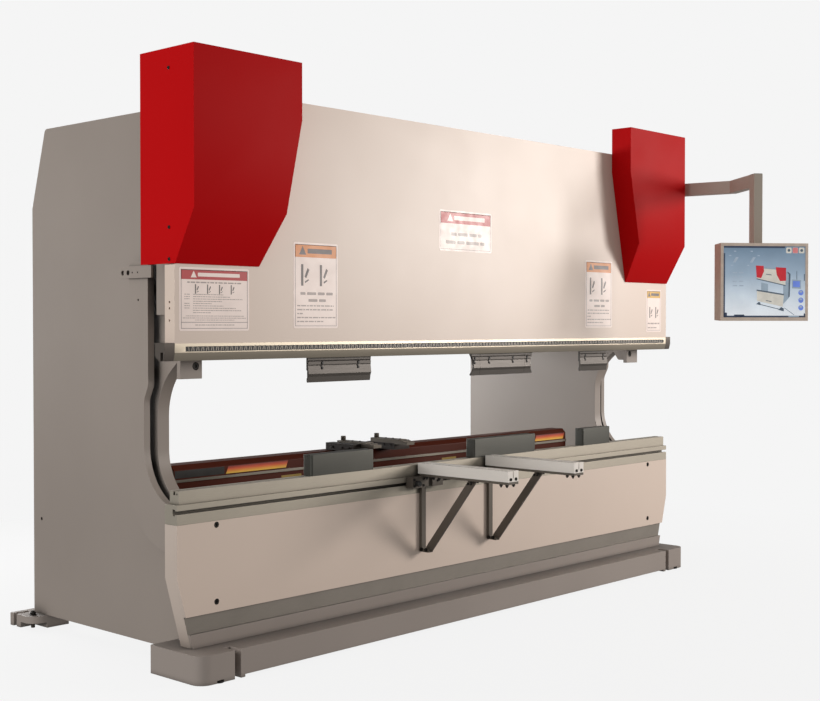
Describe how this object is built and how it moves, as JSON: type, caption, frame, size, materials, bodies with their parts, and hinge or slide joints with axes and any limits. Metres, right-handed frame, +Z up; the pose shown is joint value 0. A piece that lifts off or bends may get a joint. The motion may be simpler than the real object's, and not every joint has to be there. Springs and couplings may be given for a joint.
{
  "type": "hydraulic press brake",
  "caption": "Long hydraulic press brake: a powered ram with punches over a bed with dies, back gauge fingers, sheet support arms, red cylinder covers and a swinging control pendant.",
  "frame": {"origin": "on the floor, under the middle of the bed, at the front face of the bed", "axes": "+X along the bed to the operator's right, +Y to the back of the machine, +Z up"},
  "size_m": [3.8663, 2.3369, 2.561],
  "materials": {
    "frame_paint": "satin taupe paint",
    "bed_paint": "satin champagne beige paint",
    "cover_paint": "satin red paint",
    "plain_steel": "ground steel",
    "tool_steel": "hardened dark steel",
    "dark_steel": "blackened steel",
    "chromed_steel": "hard chromed",
    "tank_paint": "satin taupe paint",
    "gauge_paint": "dark red brown paint",
    "bare_aluminium": "anodised",
    "black_plastic": "moulded",
    "boom_paint": "satin taupe paint",
    "monitor_shell": "satin taupe",
    "screen_glass": "display panel",
    "cabinet_paint": "satin beige paint"
  },
  "bodies": {
    "frame": {"side_frame_left": "frame_paint", "side_frame_right": "frame_paint", "outer_plate_left": "frame_paint", "outer_plate_right": "frame_paint", "rear_foot_left": "frame_paint", "rear_foot_right": "frame_paint", "cylinder_left": "dark_steel", "cylinder_right": "dark_steel", "cover_left": "cover_paint", "cover_right": "cover_paint", "plate_spacers": "plain_steel", "scale_brackets": "plain_steel", "base_beam": "frame_paint", "jack_screws": "dark_steel", "lower_tie": "frame_paint", "upper_ties": "frame_paint", "bed_plate": "bed_paint", "bed_skin": "bed_paint", "toe_plate": "frame_paint", "bed_rail": "plain_steel", "die_rail": "plain_steel", "lower_dies": "tool_steel", "frame_bolts": "dark_steel", "oil_tank": "tank_paint", "tank_lid": "tank_paint", "hydraulic_pump": "dark_steel", "bell_housing": "dark_steel", "pump_motor": "tank_paint", "valve_manifold": "dark_steel", "oil_pipes": "dark_steel", "cylinder_glands": "dark_steel", "guide_blocks": "plain_steel", "guide_brackets": "frame_paint", "cover_screws": "dark_steel", "gauge_rails": "plain_steel", "boom_bracket": "frame_paint", "electrical_cabinet": "cabinet_paint"},
    "ram": {"ram_plate": "bed_paint", "clamp_bar": "plain_steel", "clamp_caps": "tool_steel", "punches": "tool_steel", "piston_rods": "chromed_steel", "ram_guides": "dark_steel"},
    "gauge_carriage": {"gauge_carriages": "plain_steel"},
    "gauge_beam": {"gauge_beam": "gauge_paint", "gauge_lifts": "plain_steel"},
    "finger_left": {"finger_left": "tool_steel", "finger_block_left": "tool_steel"},
    "finger_right": {"finger_right": "tool_steel", "finger_block_right": "tool_steel"},
    "arm_left": {"arm_bar_left": "bare_aluminium", "arm_frame_left": "dark_steel", "arm_carriage_left": "dark_steel"},
    "knob_left": {"arm_knob_left": "black_plastic"},
    "arm_right": {"arm_bar_right": "bare_aluminium", "arm_frame_right": "dark_steel", "arm_carriage_right": "dark_steel"},
    "knob_right": {"arm_knob_right": "black_plastic"},
    "boom": {"boom_arm": "boom_paint"},
    "monitor": {"monitor_case": "monitor_shell", "monitor_screen": "screen_glass"},
    "door": {"cabinet_door": "cabinet_paint"}
  },
  "joints": [
    {"name": "ram_slide", "type": "slide", "parent": "frame", "child": "ram", "axis": [0, 0, -1], "range_m": [0, 0.318]},
    {"name": "gauge_depth_slide", "type": "slide", "parent": "frame", "child": "gauge_carriage", "axis": [0, 1, 0], "range_m": [-0.185, 0.45]},
    {"name": "gauge_height_slide", "type": "slide", "parent": "gauge_carriage", "child": "gauge_beam", "axis": [0, 0, 1], "range_m": [-0.028, 0.06]},
    {"name": "finger_left_slide", "type": "slide", "parent": "gauge_beam", "child": "finger_left", "axis": [1, 0, 0], "range_m": [-0.9, 0.08]},
    {"name": "finger_right_slide", "type": "slide", "parent": "gauge_beam", "child": "finger_right", "axis": [1, 0, 0], "range_m": [-0.08, 1.5]},
    {"name": "arm_left_slide", "type": "slide", "parent": "frame", "child": "arm_left", "axis": [1, 0, 0], "range_m": [-1.25, 0.12]},
    {"name": "arm_right_slide", "type": "slide", "parent": "frame", "child": "arm_right", "axis": [1, 0, 0], "range_m": [-0.12, 1.5]},
    {"name": "knob_left_turn", "type": "hinge", "parent": "arm_left", "child": "knob_left", "pos_m": [-0.446, -0.05, 0.687], "axis": [0, -1, 0], "continuous": true},
    {"name": "knob_right_turn", "type": "hinge", "parent": "arm_right", "child": "knob_right", "pos_m": [0.063, -0.05, 0.687], "axis": [0, -1, 0], "continuous": true},
    {"name": "boom_swivel", "type": "hinge", "parent": "frame", "child": "boom", "pos_m": [1.855, 0.33, 2.2575], "axis": [0, 0, 1], "range_deg": [-4, 100]},
    {"name": "monitor_swivel", "type": "hinge", "parent": "boom", "child": "monitor", "pos_m": [1.728, -0.643, 1.8], "axis": [0, 0, 1], "range_deg": [-120, 120]},
    {"name": "door_hinge", "type": "hinge", "parent": "frame", "child": "door", "pos_m": [0.9985, 1.3095, 1.775], "axis": [0, 0, 1], "range_deg": [0, 110]}
  ]
}
